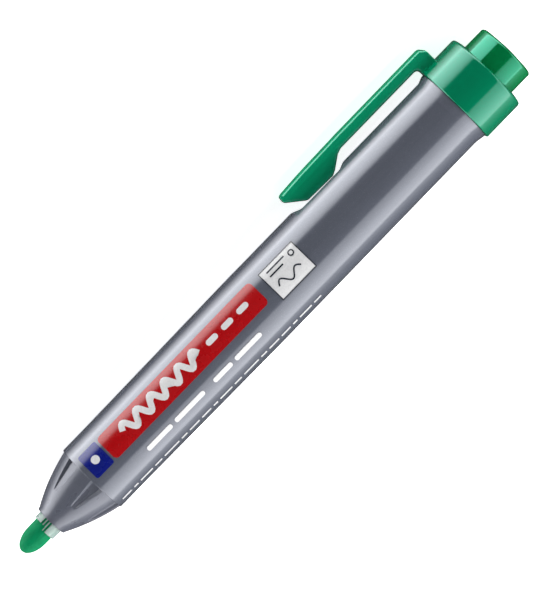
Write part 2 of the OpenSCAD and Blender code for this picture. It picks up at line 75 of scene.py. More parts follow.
bl_info = {
    "name": "Retractable Whiteboard Marker",
    "version": (1, 0, 0),
    "blender": (4, 5, 0),
    "location": "View3D > Sidebar > Marker",
    "description": "Builds the casing, clip, button, nib, print and stage of a retractable marker",
    "category": "Object",
}

MM = 0.001
GREEN_GLINT = (0.1, 1.0, 0.95, 1.0)


# --- Places, all read from the frame ---

def mount(name):
    return next(m for m in frame["record"]["mounts"] if m["name"] == name)


def joint(name):
    return next(j for j in frame["joints"] if j["name"] == name)


TIP_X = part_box("nib")[1].x
SEAT = mount("barrel_seat")
PIVOT = Vector(joint("clip_flex")["pos_m"])


def front_of(node):
    """Station of a node's end nearest the nib tip."""
    return TIP_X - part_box(node)[1].x


def back_of(node):
    """Station of a node's end nearest the button."""
    return TIP_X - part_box(node)[0].x


def radius_of(node):
    """Radius of a round node, which reaches as high above the pen's axis."""
    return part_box(node)[1].z


SEAM = front_of("barrel")
BARREL_END = front_of("rear_collar")
NECK_END = back_of("barrel")
COLLAR_END = back_of("rear_collar")
PEN_END = back_of("button")
MOUTH = front_of("nose_cone")
SPIGOT_END = back_of("nose_cone")
CLIP_TIP = front_of("clip")
SKIRT_FRONT = front_of("button")
HOLDER_FRONT = front_of("nib_holder")

SEAT_R = SEAT["dims"]["r_mm"] * MM
SEAT_END = TIP_X - SEAT["pos_m"][0] + SEAT["dims"]["length_mm"] * MM / 2
SEAT_START = SEAT_END - SEAT["dims"]["length_mm"] * MM
COLLAR_R = radius_of("rear_collar")
FLARE_R = radius_of("barrel")
SKIRT_R = radius_of("button")
NIB_R = radius_of("nib")
BORE_R = radius_of("spring_seat") + 0.05 * MM
SPIGOT_BORE_R = radius_of("slit_seal") + 0.03 * MM
PIVOT_R = math.hypot(PIVOT.y, PIVOT.z)
NIB_BODY_END = MOUTH + 4 * MM

CLIP_WAY = Vector((0, PIVOT.y, PIVOT.z)).normalized()
BACK_WAY = Vector((-1, 0, 0))
PRINT_WAY = BACK_WAY.cross(CLIP_WAY)


def placed(at, x_way, y_way, z_way):
    """Matrix that turns the axes to three directions and moves them to a place."""
    return Matrix.Translation(at) @ Matrix((x_way, y_way, z_way)).transposed().to_4x4()


LAY = placed((TIP_X, 0, 0), CLIP_WAY, PRINT_WAY, BACK_WAY)


# --- Settings ---

def length(name, description, mm):
    return FloatProperty(name=name, description=description, default=mm * MM,
                         precision=5, subtype="DISTANCE", unit="LENGTH")


def whole(name, description, number, least, most):
    return IntProperty(name=name, description=description, default=number, min=least, max=most)


def slope(name, description, degrees):
    return FloatProperty(name=name, description=description, default=math.radians(degrees),
                         subtype="ANGLE", unit="ROTATION")


def level(name, description, value):
    return FloatProperty(name=name, description=description, default=value, min=0.0)


def tint(name, description, rgb):
    return FloatVectorProperty(name=name, description=description, default=rgb, size=3,
                               min=0.0, max=1.0, subtype="COLOR")


class MarkerSizes(bpy.types.PropertyGroup):
    """Sizes of the drawn pieces that the frame's boxes don't give"""
    front_taper: length("Front taper", "How much thinner the barrel is behind the nose", 0.3)
    front_even: length("Even front", "Even stretch of the barrel behind the nose", 7.5)
    nose_step: length("Nose step", "Step from the barrel's edge down to the nose", 0.22)
    nose_bulge: length("Nose bulge", "How far the nose's side bulges", 0.42)
    mouth_wall: length("Mouth wall", "Wall of the nose at its mouth", 0.53)
    flute_length: length("Flute length", "Length of a flute of the nose", 7.5)
    flute_width: length("Flute width", "Width of a flute's floor at the barrel", 2.2)
    flute_tip: length("Flute tip", "Width of a flute's floor where it runs out", 0.55)
    flute_depth: length("Flute depth", "Depth of a flute at the barrel", 0.85)
    flutes: whole("Flutes", "Number of flutes", 7, 3, 12)
    scoop_depth: length("Scoop depth", "Depth of the finger scoop", 0.95)
    flat_depth: length("Flat depth", "Depth of the flat under the clip", 0.3)
    draft: length("Draft", "Moulding draft of the barrel behind its seat", 0.04)
    flare: length("Flare", "Length of the flare in front of the collar", 2.2)
    clip_width: length("Clip width", "Width of the clip", 5.4)
    clip_thickness: length("Clip thickness", "Thickness of the clip arm", 2.9)
    clip_edge: length("Clip edge", "Rounding of the clip's long outer edges", 0.6)
    clip_crown: length("Clip crown", "Height of the clip's outer face over its long edges", 0.5)
    keel_taper: length("Keel taper", "How much the foot narrows on each side", 0.9)
    foot_length: length("Foot length", "Length of the clip's foot", 15.4)
    root_length: length("Root length", "Length of the clip's root on the collar", 3.9)
    wire: length("Spring wire", "Thickness of the return spring's wire", 0.7)
    spring_turns: whole("Spring turns", "Turns of the return spring with its closed ends", 11, 4, 30)
    button_lip: length("Button lip", "Step from the skirt to the flat-sided stem", 0.67)
    button_wall: length("Button wall", "Wall of the button's stem", 0.9)
    button_cap: length("Button cap", "Thickness of the button's end", 1.6)
    button_sides: whole("Button sides", "Flat sides of the button", 12, 6, 16)
    button_turn: slope("Button turn", "Turn of the flat sides away from the clip", 4)
    button_swell: length("Button swell", "How far the middle of a flat side stands out", 0.13)
    nib_point: length("Nib point", "Length of the nib's rounded point", 4.4)
    holder_wall: length("Holder wall", "Wall of the nib holder", 0.36)
    finger_step: length("Finger step", "How far one holder finger stands back", 0.9)
    ink_film: length("Print film", "Thickness of the printed ink", 0.03)


class MarkerColours(bpy.types.PropertyGroup):
    """Base colours of the finishes, in linear light"""
    barrel: tint("Barrel", "Silver-grey plastic of the barrel", (0.143, 0.156, 0.197))
    nose: tint("Nose", "Darker grey plastic of the nose cone", (0.134, 0.144, 0.182))
    collar: tint("Collar", "Green plastic of the collar", (0.0, 0.242, 0.110))
    # painted light: the clip is the collar's green plastic, given a lighter copy of its colour that stands in for
    # the light on the clip
    clip: tint("Clip", "Green plastic of the clip", (0.003, 0.43, 0.200))
    button: tint("Button", "Green plastic of the button", (0.0, 0.235, 0.062))
    felt: tint("Felt", "Ink-soaked fibre of the nib", (0.0, 0.30, 0.115))
    holder: tint("Holder", "Milky plastic of the nib holder", (0.66, 0.84, 0.78))
    guide: tint("Guide", "Natural plastic of the inner guides", (0.78, 0.77, 0.71))
    chamber: tint("Chamber", "Milky plastic of the inner tubes", (0.70, 0.73, 0.75))
    film: tint("Film", "Clear film round the ink rod", (0.72, 0.80, 0.77))
    rubber: tint("Rubber", "Rubber of the seals", (0.022, 0.024, 0.027))
    steel: tint("Steel", "Wire of the return spring", (0.50, 0.51, 0.53))
    print_red: tint("Red ink", "Red of the printed panel", (0.54, 0.0, 0.003))
    print_white: tint("White ink", "White of the printed marks", (0.97, 0.97, 0.98))
    print_blue: tint("Blue ink", "Dark blue of the small panel", (0.002, 0.010, 0.24))
    print_dark: tint("Dark ink", "Near-black of the fine drawing", (0.03, 0.035, 0.05))
    floor: tint("Floor", "Pale floor", (0.94, 0.94, 0.94))


class MarkerStudio(bpy.types.PropertyGroup):
    """Camera and lights"""
    distance: FloatProperty(name="Camera distance", description="From the lens to the pen",
                            default=1.0, min=0.2, subtype="DISTANCE", unit="LENGTH")
    aim: length("Aim", "Station of the pen that the camera looks at", 72.2)
    field: length("Field", "Height of the view at the pen", 120.3)
    tilt: slope("Pen tilt", "Slope of the pen in the view", 45.88)
    clip_band: level("Clip-side band", "Brightness of the band on the clip's side", 5.5)
    open_band: level("Open-side band", "Brightness of the band on the other side", 3.5)
    rim: level("Rim", "Brightness of the room behind the pen", 0.05)
    dark: level("Dark stripe", "Brightness of the room behind the camera", 0.03)
    fill: level("Fill light", "Power of the soft panel behind the camera, in watts", 2.2)
    floor_glow: level("Floor glow", "Light that the floor gives by itself", 0.8)


def sizes():
    return bpy.context.scene.marker_sizes


def colours():
    return bpy.context.scene.marker_colours


# --- Outlines and meshes ---

def rounded(corners, steps=5):
    """Points along a line through corners (z, r, fillet), each corner rounded to its fillet."""
    points = []
    for i, (z, r, fillet) in enumerate(corners):
        here = Vector((z, r))
        if fillet <= 0 or i in (0, len(corners) - 1):
            points.append(here)
            continue
        before = Vector(corners[i - 1][:2]) - here
        after = Vector(corners[i + 1][:2]) - here
        turn = before.angle(after, math.pi)
        if turn > math.radians(179):
            points.append(here)
            continue
        reach = min(fillet / math.tan(turn / 2), 0.49 * before.length, 0.49 * after.length)
        start = here + before.normalized() * reach
        end = here + after.normalized() * reach
        for k in range(steps + 1):
            t = k / steps
            points.append(start.lerp(here, t).lerp(here.lerp(end, t), t))
    return points


def soft_min(a, b, softness):
    """The smaller of two lengths, with a rounded change from one to the other."""
    h = max(softness - abs(a - b), 0) / softness
    return min(a, b) - h * h * softness / 4


def put(name, data):
    """Adds an object to the scene."""
    made = bpy.data.objects.new(name, data)
    bpy.context.scene.collection.objects.link(made)
    return made


def new_piece(name, mesh, body, material, replaced=(), sharp=38):
    mesh.transform(LAY)
    mesh.shade_smooth()
    mesh.set_sharp_from_angle(angle=math.radians(sharp))
    mesh.materials.append(material)
    piece = put(name, mesh)
    if body:
        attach(piece, body)
    if replaced:
        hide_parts(*replaced)
    return piece


def mesh_from(name, bm):
    bmesh.ops.recalc_face_normals(bm, faces=bm.faces)
    mesh = bpy.data.meshes.new(name)
    bm.to_mesh(mesh)
    bm.free()
    return mesh


def bridge(bm, a, b):
    """Faces between two rings of corners, either of which may be a pole."""
    for k in range(max(len(a), len(b))):
        n = k + 1
        corners = dict.fromkeys((a[k % len(a)], a[n % len(a)], b[n % len(b)], b[k % len(b)]))
        if len(corners) > 2:
            bm.faces.new(list(corners))


def lathe(name, outline, segments, shape=None, closed=True, swing=None):
    """Mesh of an outline of (z, r) points turned round the pen's axis.

    swing(z, angle) may move a line along the pen round its axis, and shape(z, r, angle) may
    give another radius. Points on the axis become poles, and a closed outline joins its last
    point to its first.
    """
    bm = bmesh.new()
    rings = []
    for z, r in outline:
        if r < 1e-7:
            rings.append([bm.verts.new((0, 0, z))])
            continue
        ring = []
        for k in range(segments):
            angle = 2 * math.pi * k / segments
            angle = swing(z, angle) if swing else angle
            here = shape(z, r, angle) if shape else r
            ring.append(bm.verts.new((here * math.cos(angle), here * math.sin(angle), z)))
        rings.append(ring)
    pairs = list(zip(rings, rings[1:]))
    if closed:
        pairs.append((rings[-1], rings[0]))
    for a, b in pairs:
        bridge(bm, a, b)
    return mesh_from(name, bm)


def spread(start, end, count):
    return [start + (end - start) * i / count for i in range(count + 1)]


# --- Finishes ---

class Nodes:
    """The few building blocks that the finishes and the studio's world share."""

    def __init__(self, owner):
        owner.use_nodes = True
        self.tree = owner.node_tree

    def node(self, kind, **values):
        made = self.tree.nodes.new(kind)
        for key, value in values.items():
            setattr(made, key, value)
        return made

    def link(self, out, into):
        self.tree.links.new(out, into)

    def ranged(self, value, low, high, to_low, to_high):
        made = self.node("ShaderNodeMapRange")
        for key, number in (("From Min", low), ("From Max", high), ("To Min", to_low), ("To Max", to_high)):
            made.inputs[key].default_value = number
        self.link(value, made.inputs["Value"])
        return made.outputs["Result"]

    def mixed(self, factor, first, second):
        """Colour between two colours or sockets."""
        made = self.node("ShaderNodeMix", data_type="RGBA")
        self.link(factor, made.inputs[0])
        for value, socket in ((first, made.inputs[6]), (second, made.inputs[7])):
            if isinstance(value, tuple):
                socket.default_value = (*value, 1.0)
            else:
                self.link(value, socket)
        return made.outputs[2]


class Finish(Nodes):
    """Node tree of one material."""

    def __init__(self, name):
        self.material = bpy.data.materials.new(name)
        super().__init__(self.material)
        self.shader = self.tree.nodes["Principled BSDF"]
        self.place = self.node("ShaderNodeTexCoord").outputs["Object"]

    def stretched(self, factor):
        """The place on the pen, with the direction along the pen scaled by a factor."""
        mapping = self.node("ShaderNodeMapping")
        mapping.inputs["Scale"].default_value = (factor, 1, 1)
        self.link(self.place, mapping.inputs["Vector"])
        return mapping.outputs["Vector"]

    def noise(self, scale, detail=3.0, along=1.0):
        noise = self.node("ShaderNodeTexNoise")
        noise.inputs["Scale"].default_value = scale
        noise.inputs["Detail"].default_value = detail
        self.link(self.stretched(along) if along != 1.0 else self.place, noise.inputs["Vector"])
        return noise.outputs["Fac"]

    def bump(self, height, distance, strength):
        made = self.node("ShaderNodeBump")
        made.inputs["Distance"].default_value = distance
        made.inputs["Strength"].default_value = strength
        self.link(height, made.inputs["Height"])
        return made.outputs["Normal"]

    def feed(self, socket, out):
        """Links an output into one of the shader's sockets."""
        self.link(out, self.shader.inputs[socket])

    def set(self, **values):
        for key, value in values.items():
            self.shader.inputs[key.replace("_", " ")].default_value = value


def shade(colour, factor):
    return tuple(min(1.0, c * factor) for c in colour)


def moulded(name, colour, roughness, grain=0.004, fleck=0.0, flow=0.05, worn=0.12, **shader):
    """Moulded plastic: fine grain, faint flow lines along the pen, rubbed edges and a few scuffs."""
    f = Finish(name)
    flow_lines = f.ranged(f.noise(900, 2.0, along=0.03), 0.3, 0.7, 0, 1)
    base = f.mixed(flow_lines, shade(colour, 1 - flow), shade(colour, 1 + flow))
    if fleck:
        sparks = f.ranged(f.noise(9000, 0.0), 0.66, 0.74, 0, fleck)
        base = f.mixed(sparks, base, shade(colour, 2.2))
    edges = f.ranged(f.node("ShaderNodeNewGeometry").outputs["Pointiness"], 0.52, 0.6, 0, worn)
    base = f.mixed(edges, base, tuple(min(1.0, c * 1.4 + 0.04) for c in colour))
    f.feed("Base Color", base)
    scuffs = f.noise(260, 6.0, along=0.35)
    f.feed("Roughness", f.ranged(scuffs, 0.35, 0.75, roughness - 0.03, roughness + 0.07))
    f.feed("Normal", f.bump(f.noise(5200, 2.0), grain * MM, 0.6))
    f.set(**shader)
    return f.material


def green_plastic(name, colour, roughness, **shader):
    """Glossy green plastic, which gives its own colour to what it mirrors."""
    return moulded(name, colour, roughness, flow=0.03, Specular_Tint=GREEN_GLINT, **shader)


def fibrous(name, colour, coarse):
    """Bundled fibres soaked with ink: streaks along the pen and a wet darkening."""
    f = Finish(name)
    streaks = f.noise(coarse, 4.0, along=0.12)
    wet = f.noise(350, 3.0)
    base = f.mixed(f.ranged(streaks, 0.3, 0.7, 0, 1), shade(colour, 0.8), shade(colour, 1.15))
    base = f.mixed(f.ranged(wet, 0.35, 0.7, 0, 0.4), base, shade(colour, 0.7))
    f.feed("Base Color", base)
    f.feed("Roughness", f.ranged(wet, 0.3, 0.7, 0.42, 0.66))
    f.feed("Normal", f.bump(streaks, 0.05 * MM, 0.7))
    f.set(Specular_IOR_Level=0.12)
    return f.material


def soft_rubber(name, colour):
    """Seal rubber: dull, with a fine bloom and a moulded grain."""
    f = Finish(name)
    bloom = f.noise(1500, 5.0)
    f.feed("Base Color", f.mixed(f.ranged(bloom, 0.4, 0.8, 0, 0.4), tuple(colour), shade(colour, 2.5)))
    f.feed("Roughness", f.ranged(bloom, 0.3, 0.7, 0.5, 0.72))
    f.feed("Normal", f.bump(f.noise(4000, 2.0), 0.01 * MM, 0.5))
    return f.material


def drawn_wire(name, colour):
    """Drawn spring wire: bright metal with fine draw marks and a little oil haze."""
    f = Finish(name)
    marks = f.noise(6000, 2.0, along=3.0)
    f.feed("Base Color", f.mixed(f.ranged(marks, 0.3, 0.7, 0, 1), shade(colour, 0.85), shade(colour, 1.1)))
    f.feed("Roughness", f.ranged(f.noise(500, 3.0), 0.3, 0.7, 0.22, 0.38))
    f.feed("Normal", f.bump(marks, 0.004 * MM, 0.5))
    f.set(Metallic=1.0)
    return f.material


def printed(name, colour, gloss=0.26):
    """Pad-printed ink: slightly uneven cover with pin holes and its own satin gloss."""
    f = Finish(name)
    cover = f.noise(2600, 3.0)
    f.feed("Base Color", f.mixed(f.ranged(cover, 0.3, 0.75, 0, 1), tuple(colour), shade(colour, 0.9)))
    f.feed("Roughness", f.ranged(f.noise(420, 4.0), 0.3, 0.7, gloss - 0.04, gloss + 0.06))
    f.feed("Normal", f.bump(cover, 0.006 * MM, 0.5))
    f.set(Specular_IOR_Level=0.45, Coat_Weight=0.8, Coat_Roughness=0.08)
    return f.material


# --- Casing ---

def nose_ends():
    """Radius of the nose at its mouth and at the seam."""
    s = sizes()
    return NIB_R + s.holder_wall + 0.18 * MM + s.mouth_wall, SEAT_R - s.front_taper - s.nose_step


def nose_outline():
    """Outer line of the nose cone from its mouth to the seam."""
    s = sizes()
    mouth_r, seam_r = nose_ends()
    start = Vector((MOUTH + 0.25 * MM, mouth_r))
    end = Vector((SEAM, seam_r))
    way = end - start
    side = Vector((-way.y, way.x)).normalized()
    return [start + way * t + side * s.nose_bulge * 4 * t * (1 - t) for t in spread(0, 1, 44)]


def flute_at(z):
    """Radius of a flute's floor, half its width, and half its width with the walls, at a station."""
    s = sizes()
    start = SEAM - s.flute_length
    mouth_r, seam_r = nose_ends()
    share = (start - MOUTH) / (SEAM - MOUTH)
    low = mouth_r + (seam_r - mouth_r) * share + s.nose_bulge * 4 * share * (1 - share)
    t = max(0, (z - start) / s.flute_length)
    half = (s.flute_tip + (s.flute_width - s.flute_tip) * t) / 2
    return low + (seam_r - s.flute_depth - low) * t, half, half + 0.75 * MM * (0.25 + 0.75 * t)


def off_flute(angle):
    """Angle from the nearest flute's middle."""
    pitch = 2 * math.pi / sizes().flutes
    return (angle + pitch / 2) % pitch - pitch / 2


def flute_lines(z, angle):
    """Draws the lines along the nose together where the flutes narrow, so that they follow the edges."""
    pitch = 2 * math.pi / sizes().flutes
    off = off_flute(angle)
    wide, here = (math.asin(flute_at(at)[2] / (SEAT_R - 1 * MM)) for at in (SEAM, min(z, SEAM)))
    if abs(off) <= wide:
        moved = off * here / wide
    else:
        moved = math.copysign(here + (abs(off) - wide) * (pitch / 2 - here) / (pitch / 2 - wide), off)
    return angle - off + moved


def fluted(z, r, angle):
    """Radius of the nose with its flutes: ramps whose floors dive under the ogive."""
    if z < SEAM - sizes().flute_length or r < SPIGOT_BORE_R + 0.3 * MM:
        return r
    floor, half, reach = flute_at(z)
    off = off_flute(angle)
    beyond = max(0.0, abs(r * math.sin(off)) - half)
    wall = 0.85 * beyond + 0.9 * beyond * beyond / (reach - half)
    return soft_min(r, floor / math.cos(off) + wall, 0.16 * MM)


def scooped(z, r, angle):
    """Radius of the barrel with the flat and the finger scoop on the clip's side."""
    s = sizes()
    if math.cos(angle) < 0.3 or r < BORE_R + 0.4 * MM:
        return r
    scoop_start = SEAT_END + 0.4 * MM
    scoop_end = CLIP_TIP + s.foot_length - 0.7 * MM
    flare_start = BARREL_END - s.flare
    deep = SEAT_R - s.scoop_depth
    shallow = SEAT_R - s.flat_depth
    steps = [(scoop_start - 0.4 * MM, SEAT_R + 0.2 * MM), (scoop_start + 3.2 * MM, deep),
             (scoop_end - 2.2 * MM, deep), (scoop_end, shallow),
             (flare_start + 0.2 * MM, shallow), (flare_start + 0.9 * MM, SEAT_R + 1.4 * MM)]
    if z <= steps[0][0] or z >= steps[-1][0]:
        return r
    for (z0, x0), (z1, x1) in zip(steps, steps[1:]):
        if z0 <= z <= z1:
            t = (z - z0) / (z1 - z0)
            limit = x0 + (x1 - x0) * (t * t * (3 - 2 * t))
            return soft_min(r, limit / math.cos(angle), 0.08 * MM)
    return r


def barrel_outline():
    s = sizes()
    front_r = SEAT_R - s.front_taper
    back_r = SEAT_R - s.draft
    neck_r = COLLAR_R - 1.03 * MM
    rear_bore_r = SKIRT_R + 0.05 * MM
    rear_bore_start = SKIRT_FRONT - joint("button_press")["range_m"][1] - 0.3 * MM
    flare_start = BARREL_END - s.flare
    outer = rounded([
        (SEAM, BORE_R, 0), (SEAM, front_r - 0.02 * MM, 0.16 * MM),
        (SEAM + 0.5 * MM, front_r, 0.3 * MM), (SEAM + s.front_even, front_r, 20 * MM),
        (SEAT_START, SEAT_R, 30 * MM), (SEAT_END, SEAT_R, 0),
        (flare_start, back_r, 2.5 * MM), (BARREL_END - 0.5 * MM, FLARE_R - 0.05 * MM, 0.3 * MM),
        (BARREL_END - 0.05 * MM, FLARE_R - 0.05 * MM, 0.05 * MM), (BARREL_END, neck_r, 0)])
    # short rows where the scoop shapes the side
    fine = [Vector((z, SEAT_R - s.draft * (z - SEAT_END) / (flare_start - SEAT_END)))
            for z in spread(SEAT_END + 0.2 * MM, flare_start - 3 * MM, 90)]
    split = next(i for i, p in enumerate(outer) if p.x > SEAT_END + 0.05 * MM)
    inner = [Vector((NECK_END, neck_r)), Vector((NECK_END, rear_bore_r)),
             Vector((rear_bore_start, rear_bore_r)), Vector((rear_bore_start, BORE_R))]
    return outer[:split] + fine + outer[split:] + inner


class MARKER_OT_barrel(bpy.types.Operator):
    """Build the barrel with its scoop, flat and flare"""
    bl_idname = "marker.barrel"
    bl_label = "Barrel"

    def execute(self, context):
        finish = moulded("barrel_satin_grey", colours().barrel, 0.20, fleck=0.25, flow=0.03,
                         Metallic=0.2, Coat_Weight=1.0, Coat_Roughness=0.06)
        mesh = lathe("barrel_tube", barrel_outline(), 240, scooped)
        new_piece("barrel_tube", mesh, "casing", finish, ["barrel"])
        return {"FINISHED"}


class MARKER_OT_nose(bpy.types.Operator):
    """Build the fluted nose cone"""
    bl_idname = "marker.nose"
    bl_label = "Nose cone"

    def execute(self, context):
        outer = nose_outline()
        mouth_r = outer[0].y
        bore_r = mouth_r - sizes().mouth_wall
        spigot_r = BORE_R - 0.03 * MM
        shoulder = back_of("slit_seal") - 1.5 * MM
        funnel_r = SPIGOT_BORE_R - 0.45 * MM
        lip = rounded([(MOUTH + 0.3 * MM, bore_r, 0), (MOUTH, bore_r, 0.12 * MM),
                       (MOUTH, mouth_r - 0.02 * MM, 0.22 * MM), tuple(outer[1]) + (0,)])
        inside = [(SEAM, spigot_r), (SPIGOT_END - 0.4 * MM, spigot_r), (SPIGOT_END, spigot_r - 0.4 * MM),
                  (SPIGOT_END, SPIGOT_BORE_R), (shoulder, SPIGOT_BORE_R), (shoulder, funnel_r),
                  (shoulder - 2.6 * MM, funnel_r), (MOUTH + 1.1 * MM, bore_r)]
        outline = lip + outer[2:] + [Vector(p) for p in inside]
        finish = moulded("nose_satin_grey", colours().nose, 0.30, fleck=0.15, flow=0.03,
                         Metallic=0.15, Coat_Weight=0.5, Coat_Roughness=0.14)
        mesh = lathe("nose_cone_shell", outline, 630, fluted, swing=flute_lines)
        new_piece("nose_cone_shell", mesh, "casing", finish, ["nose_cone"], sharp=50)
        return {"FINISHED"}


class MARKER_OT_collar(bpy.types.Operator):
    """Build the collar that closes the barrel round the button"""
    bl_idname = "marker.collar"
    bl_label = "Collar"

    def execute(self, context):
        hole_r = SKIRT_R - sizes().button_lip + 0.12 * MM
        neck_r = COLLAR_R - 1 * MM
        wall_front = NECK_END + 0.2 * MM
        outline = rounded([
            (BARREL_END + 1 * MM, neck_r, 0), (BARREL_END, neck_r, 0.1 * MM),
            (BARREL_END, COLLAR_R, 0.4 * MM), (COLLAR_END - 0.35 * MM, COLLAR_R, 0.75 * MM),
            (COLLAR_END - 0.02 * MM, hole_r + 1.2 * MM, 1.2 * MM), (COLLAR_END, hole_r, 0.25 * MM),
            (wall_front, hole_r, 0.1 * MM), (wall_front, neck_r, 0)], 8)
        finish = green_plastic("collar_green", colours().collar, 0.18, Metallic=0.08,
                               Coat_Weight=0.9, Coat_Roughness=0.05)
        mesh = lathe("collar_cap", outline, 192)
        new_piece("collar_cap", mesh, "casing", finish, ["rear_collar"])
        return {"FINISHED"}


# --- Clip ---

def clip_outline():
    """Side view of the clip and its root as (z, x, fillet) corners, round by the foot and back."""
    s = sizes()
    inner = PIVOT_R - s.clip_thickness / 2
    outer = PIVOT_R + s.clip_thickness / 2
    toe = SEAT_R - s.scoop_depth + 0.1 * MM
    root_end = BARREL_END + s.root_length
    heel = CLIP_TIP + s.foot_length
    return [
        (root_end, COLLAR_R - 0.9 * MM, 0), (BARREL_END + 0.02 * MM, COLLAR_R - 0.9 * MM, 0),
        (BARREL_END + 0.02 * MM, inner, 1.1 * MM), (heel + 0.8 * MM, inner, 1.2 * MM),
        (heel - 0.6 * MM, inner - 0.45 * MM, 1.0 * MM), (CLIP_TIP + 12.1 * MM, toe + 0.5 * MM, 0.8 * MM),
        (CLIP_TIP + 11 * MM, toe, 0.8 * MM), (CLIP_TIP + 3.9 * MM, toe + 0.2 * MM, 1.4 * MM),
        (CLIP_TIP + 0.15 * MM, inner + 0.45 * MM, 0.7 * MM), (CLIP_TIP, inner + 1.1 * MM, 0.5 * MM),
        (CLIP_TIP + 0.1 * MM, outer - 0.75 * MM, 0.5 * MM),
        (CLIP_TIP + 0.9 * MM, outer - 0.52 * MM, 0.8 * MM),
        (CLIP_TIP + 6.5 * MM, outer - 0.25 * MM, 8 * MM), (heel + 2 * MM, outer - 0.05 * MM, 12 * MM),
        (root_end - 1 * MM, outer - 0.01 * MM, 1.2 * MM), (root_end, outer - 1.3 * MM, 1.0 * MM)]


def dense(points, step):
    """Adds points, so that no stretch of a closed line is longer than a step."""
    made = []
    for a, b in zip(points, points[1:] + points[:1]):
        count = max(1, math.ceil((b - a).length / step))
        made += [a.lerp(b, k / count) for k in range(count)]
    return made


def pillow(outline, half, fillet, crown, steps=6):
    """Bar with a side view and a half width.

    fillet(x) rounds the long edges, and crown(x) makes the face between them bulge, where x
    is how far the face looks away from the barrel.
    """
    count = len(outline)
    area = sum(a.x * b.y - b.x * a.y for a, b in zip(outline, outline[1:] + outline[:1]))
    turn = 1 if area > 0 else -1
    bm = bmesh.new()
    rows = []
    for i, p in enumerate(outline):
        way = outline[(i + 1) % count] - outline[i - 1]
        inward = Vector((-way.y, way.x)).normalized() * turn
        r = fillet(-inward.y)
        rise = max(crown(-inward.y), 0.0001 * MM)
        edge_y = half - r
        deep = rise + r
        arc_r = (deep * deep + edge_y * edge_y - r * r) / (2 * rise)
        lean = math.atan2(edge_y, arc_r - deep)
        profile = [(edge_y + r * math.sin(a), deep - r * math.cos(a))
                   for a in spread(math.pi / 2, lean, steps)]
        profile += [(arc_r * math.sin(a), arc_r * (1 - math.cos(a)))
                    for a in spread(lean, 0, steps)[1:]]
        profile += [(-y, inset) for y, inset in profile[-2::-1]]
        row = []
        for y, inset in profile:
            at = p + inward * inset
            row.append(bm.verts.new((at.y, y, at.x)))
        rows.append(row)
    for i, a in enumerate(rows):
        b = rows[(i + 1) % count]
        for k in range(len(a) - 1):
            bm.faces.new((a[k], a[k + 1], b[k + 1], b[k]))
    bm.faces.new([row[0] for row in rows])
    bm.faces.new([row[-1] for row in rows])
    return bm


class MARKER_OT_clip(bpy.types.Operator):
    """Build the clip, whose root sits on the collar"""
    bl_idname = "marker.clip"
    bl_label = "Clip"

    def execute(self, context):
        s = sizes()
        inner = PIVOT_R - s.clip_thickness / 2
        half = s.clip_width / 2
        keel_top = inner + 0.5 * MM
        keel_foot = SEAT_R - s.scoop_depth

        def fillet(out):
            return s.clip_edge if out > 0 else 0.45 * MM

        def crown(out):
            return s.clip_crown * max(0, out)

        bm = pillow(dense(rounded(clip_outline(), 6), 0.7 * MM), half, fillet, crown)
        bmesh.ops.bisect_plane(bm, geom=bm.verts[:] + bm.edges[:] + bm.faces[:],
                               plane_co=(keel_top, 0, 0), plane_no=(1, 0, 0))
        for v in bm.verts:
            share = max(0, (keel_top - v.co.x) / (keel_top - keel_foot))
            v.co.y *= 1 - share * s.keel_taper / half
        # painted light: the clip's colour is a lighter copy of the collar's green, standing in for the light on
        # its side face
        finish = green_plastic("clip_green_painted_lighter", colours().clip, 0.20, Metallic=0.05,
                               Coat_Weight=0.9, Coat_Roughness=0.06)
        piece = new_piece("clip_arm_moulding", mesh_from("clip_arm_moulding", bm), None, finish,
                          ["clip"])
        weighted = piece.modifiers.new("flat_sides", "WEIGHTED_NORMAL")
        weighted.keep_sharp = True
        apply_modifiers(piece)
        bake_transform(piece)
        return {"FINISHED"}


def apply_modifiers(piece):
    """Turns a piece's modifiers into mesh."""
    graph = bpy.context.evaluated_depsgraph_get()
    mesh = bpy.data.meshes.new_from_object(piece.evaluated_get(graph))
    piece.modifiers.clear()
    old = piece.data
    piece.data = mesh
    bpy.data.meshes.remove(old)


# --- Button, nib and holder ---

class MARKER_OT_button(bpy.types.Operator):
    """Build the flat-sided push button"""
    bl_idname = "marker.button"
    bl_label = "Button"

    def execute(self, context):
        s = sizes()
        sides = s.button_sides
        corner_r = SKIRT_R - s.button_lip
        flat_r = corner_r * math.cos(math.pi / sides)
        bore_r = flat_r - s.button_wall
        skirt_top = NECK_END - abs(joint("button_press")["range_m"][0])
        socket_r = radius_of("plunger") - 0.15 * MM

        def faceted(z, r, angle):
            if z < skirt_top + 0.05 * MM or r < bore_r + 0.1 * MM:
                return r
            pitch = 2 * math.pi / sides
            near = (angle + s.button_turn - pitch / 2) % pitch - pitch / 2
            swell = s.button_swell * (1 - (math.tan(near) / math.tan(pitch / 2)) ** 2)
            flat = flat_r / math.cos(near)
            beside = flat_r / math.cos(pitch - abs(near))
            return min(soft_min(flat, beside, 0.12 * MM) + swell, r)

        rim = PEN_END - 0.45 * MM
        outline = rounded([
            (SKIRT_FRONT, bore_r, 0), (SKIRT_FRONT, SKIRT_R, 0.25 * MM),
            (skirt_top, SKIRT_R, 0.2 * MM), (skirt_top + 0.02 * MM, corner_r + 0.02 * MM, 0),
            (skirt_top + 0.1 * MM, corner_r, 0), (rim, corner_r, 1.0 * MM),
            (PEN_END - 0.02 * MM, 2.2 * MM, 6 * MM), (PEN_END, 0, 0)], 12)
        inside = [Vector((PEN_END - s.button_cap, 0)), Vector((PEN_END - s.button_cap, socket_r)),
                  Vector((PEN_END - s.button_cap, bore_r))]
        finish = green_plastic("button_green", colours().button, 0.18, Metallic=0.15,
                               Specular_IOR_Level=1.0, Coat_Weight=0.5, Coat_Roughness=0.05)
        mesh = lathe("push_button", outline + inside, 480, faceted)
        new_piece("push_button", mesh, "push_button", finish, ["button"], sharp=50)
        return {"FINISHED"}


